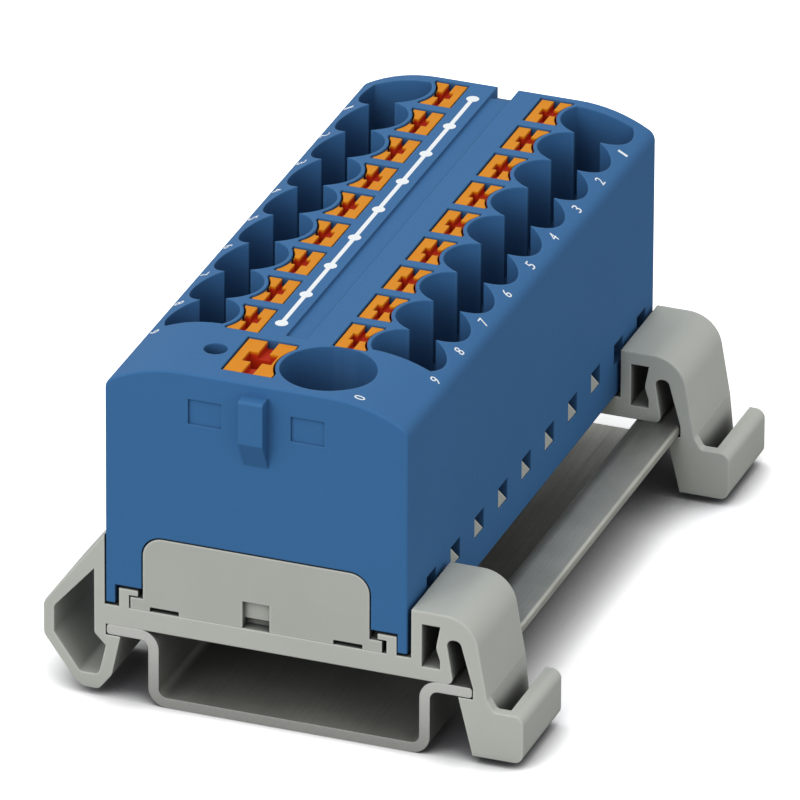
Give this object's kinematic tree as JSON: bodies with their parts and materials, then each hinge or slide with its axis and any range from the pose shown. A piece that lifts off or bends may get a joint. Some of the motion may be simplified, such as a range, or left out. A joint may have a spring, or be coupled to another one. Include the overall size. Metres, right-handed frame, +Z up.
{
  "type": "power distribution block",
  "caption": "Push-in distribution block with two rows of wire terminals and a larger feed terminal, snapped on a short piece of top hat rail",
  "frame": {"origin": "On the underside of the rail section, in the middle of its width and of its length.", "axes": "X across the rail, from the fixed loop side to the sprung foot side. Y along the rail, from the feed terminal to the other end. Z up, away from the panel that the rail is screwed to."},
  "size_m": [0.046, 0.0669, 0.0341],
  "materials": {
    "housing_blue": "finely textured blue polyamide moulding",
    "moulding_grey": "satin light grey polyamide moulding",
    "pusher_orange": "satin orange moulding",
    "rail_steel": "galvanised and passivated sheet steel",
    "spring_steel": "bright rolled spring steel",
    "bar_copper": "bare rolled copper alloy"
  },
  "bodies": {
    "block": {"housing": "housing_blue", "base_plate": "moulding_grey", "rail_adapter_front": "moulding_grey", "rail_adapter_rear": "moulding_grey", "din_rail": "rail_steel", "current_bar": "bar_copper", "clamp_spring_left_1": "spring_steel", "clamp_spring_left_2": "spring_steel", "clamp_spring_left_3": "spring_steel", "clamp_spring_left_4": "spring_steel", "clamp_spring_left_5": "spring_steel", "clamp_spring_left_6": "spring_steel", "clamp_spring_left_7": "spring_steel", "clamp_spring_left_8": "spring_steel", "clamp_spring_left_9": "spring_steel", "clamp_spring_right_1": "spring_steel", "clamp_spring_right_2": "spring_steel", "clamp_spring_right_3": "spring_steel", "clamp_spring_right_4": "spring_steel", "clamp_spring_right_5": "spring_steel", "clamp_spring_right_6": "spring_steel", "clamp_spring_right_7": "spring_steel", "clamp_spring_right_8": "spring_steel", "clamp_spring_right_9": "spring_steel", "feed_spring": "spring_steel"},
    "pusher_left_1": {"pusher_left_1": "pusher_orange"},
    "pusher_left_2": {"pusher_left_2": "pusher_orange"},
    "pusher_left_3": {"pusher_left_3": "pusher_orange"},
    "pusher_left_4": {"pusher_left_4": "pusher_orange"},
    "pusher_left_5": {"pusher_left_5": "pusher_orange"},
    "pusher_left_6": {"pusher_left_6": "pusher_orange"},
    "pusher_left_7": {"pusher_left_7": "pusher_orange"},
    "pusher_left_8": {"pusher_left_8": "pusher_orange"},
    "pusher_left_9": {"pusher_left_9": "pusher_orange"},
    "pusher_right_1": {"pusher_right_1": "pusher_orange"},
    "pusher_right_2": {"pusher_right_2": "pusher_orange"},
    "pusher_right_3": {"pusher_right_3": "pusher_orange"},
    "pusher_right_4": {"pusher_right_4": "pusher_orange"},
    "pusher_right_5": {"pusher_right_5": "pusher_orange"},
    "pusher_right_6": {"pusher_right_6": "pusher_orange"},
    "pusher_right_7": {"pusher_right_7": "pusher_orange"},
    "pusher_right_8": {"pusher_right_8": "pusher_orange"},
    "pusher_right_9": {"pusher_right_9": "pusher_orange"},
    "feed_pusher": {"feed_pusher": "pusher_orange"}
  },
  "joints": [
    {"name": "pusher_left_1_press", "type": "slide", "parent": "block", "child": "pusher_left_1", "axis": [0, 0, -1], "range_m": [0, 0.0014], "stiffness_N_per_m": 1500, "deforming": ["clamp_spring_left_1"]},
    {"name": "pusher_left_2_press", "type": "slide", "parent": "block", "child": "pusher_left_2", "axis": [0, 0, -1], "range_m": [0, 0.0014], "stiffness_N_per_m": 1500, "deforming": ["clamp_spring_left_2"]},
    {"name": "pusher_left_3_press", "type": "slide", "parent": "block", "child": "pusher_left_3", "axis": [0, 0, -1], "range_m": [0, 0.0014], "stiffness_N_per_m": 1500, "deforming": ["clamp_spring_left_3"]},
    {"name": "pusher_left_4_press", "type": "slide", "parent": "block", "child": "pusher_left_4", "axis": [0, 0, -1], "range_m": [0, 0.0014], "stiffness_N_per_m": 1500, "deforming": ["clamp_spring_left_4"]},
    {"name": "pusher_left_5_press", "type": "slide", "parent": "block", "child": "pusher_left_5", "axis": [0, 0, -1], "range_m": [0, 0.0014], "stiffness_N_per_m": 1500, "deforming": ["clamp_spring_left_5"]},
    {"name": "pusher_left_6_press", "type": "slide", "parent": "block", "child": "pusher_left_6", "axis": [0, 0, -1], "range_m": [0, 0.0014], "stiffness_N_per_m": 1500, "deforming": ["clamp_spring_left_6"]},
    {"name": "pusher_left_7_press", "type": "slide", "parent": "block", "child": "pusher_left_7", "axis": [0, 0, -1], "range_m": [0, 0.0014], "stiffness_N_per_m": 1500, "deforming": ["clamp_spring_left_7"]},
    {"name": "pusher_left_8_press", "type": "slide", "parent": "block", "child": "pusher_left_8", "axis": [0, 0, -1], "range_m": [0, 0.0014], "stiffness_N_per_m": 1500, "deforming": ["clamp_spring_left_8"]},
    {"name": "pusher_left_9_press", "type": "slide", "parent": "block", "child": "pusher_left_9", "axis": [0, 0, -1], "range_m": [0, 0.0014], "stiffness_N_per_m": 1500, "deforming": ["clamp_spring_left_9"]},
    {"name": "pusher_right_1_press", "type": "slide", "parent": "block", "child": "pusher_right_1", "axis": [0, 0, -1], "range_m": [0, 0.0014], "stiffness_N_per_m": 1500, "deforming": ["clamp_spring_right_1"]},
    {"name": "pusher_right_2_press", "type": "slide", "parent": "block", "child": "pusher_right_2", "axis": [0, 0, -1], "range_m": [0, 0.0014], "stiffness_N_per_m": 1500, "deforming": ["clamp_spring_right_2"]},
    {"name": "pusher_right_3_press", "type": "slide", "parent": "block", "child": "pusher_right_3", "axis": [0, 0, -1], "range_m": [0, 0.0014], "stiffness_N_per_m": 1500, "deforming": ["clamp_spring_right_3"]},
    {"name": "pusher_right_4_press", "type": "slide", "parent": "block", "child": "pusher_right_4", "axis": [0, 0, -1], "range_m": [0, 0.0014], "stiffness_N_per_m": 1500, "deforming": ["clamp_spring_right_4"]},
    {"name": "pusher_right_5_press", "type": "slide", "parent": "block", "child": "pusher_right_5", "axis": [0, 0, -1], "range_m": [0, 0.0014], "stiffness_N_per_m": 1500, "deforming": ["clamp_spring_right_5"]},
    {"name": "pusher_right_6_press", "type": "slide", "parent": "block", "child": "pusher_right_6", "axis": [0, 0, -1], "range_m": [0, 0.0014], "stiffness_N_per_m": 1500, "deforming": ["clamp_spring_right_6"]},
    {"name": "pusher_right_7_press", "type": "slide", "parent": "block", "child": "pusher_right_7", "axis": [0, 0, -1], "range_m": [0, 0.0014], "stiffness_N_per_m": 1500, "deforming": ["clamp_spring_right_7"]},
    {"name": "pusher_right_8_press", "type": "slide", "parent": "block", "child": "pusher_right_8", "axis": [0, 0, -1], "range_m": [0, 0.0014], "stiffness_N_per_m": 1500, "deforming": ["clamp_spring_right_8"]},
    {"name": "pusher_right_9_press", "type": "slide", "parent": "block", "child": "pusher_right_9", "axis": [0, 0, -1], "range_m": [0, 0.0014], "stiffness_N_per_m": 1500, "deforming": ["clamp_spring_right_9"]},
    {"name": "feed_pusher_press", "type": "slide", "parent": "block", "child": "feed_pusher", "axis": [0, 0, -1], "range_m": [0, 0.0014], "stiffness_N_per_m": 1500, "deforming": ["feed_spring"]}
  ]
}
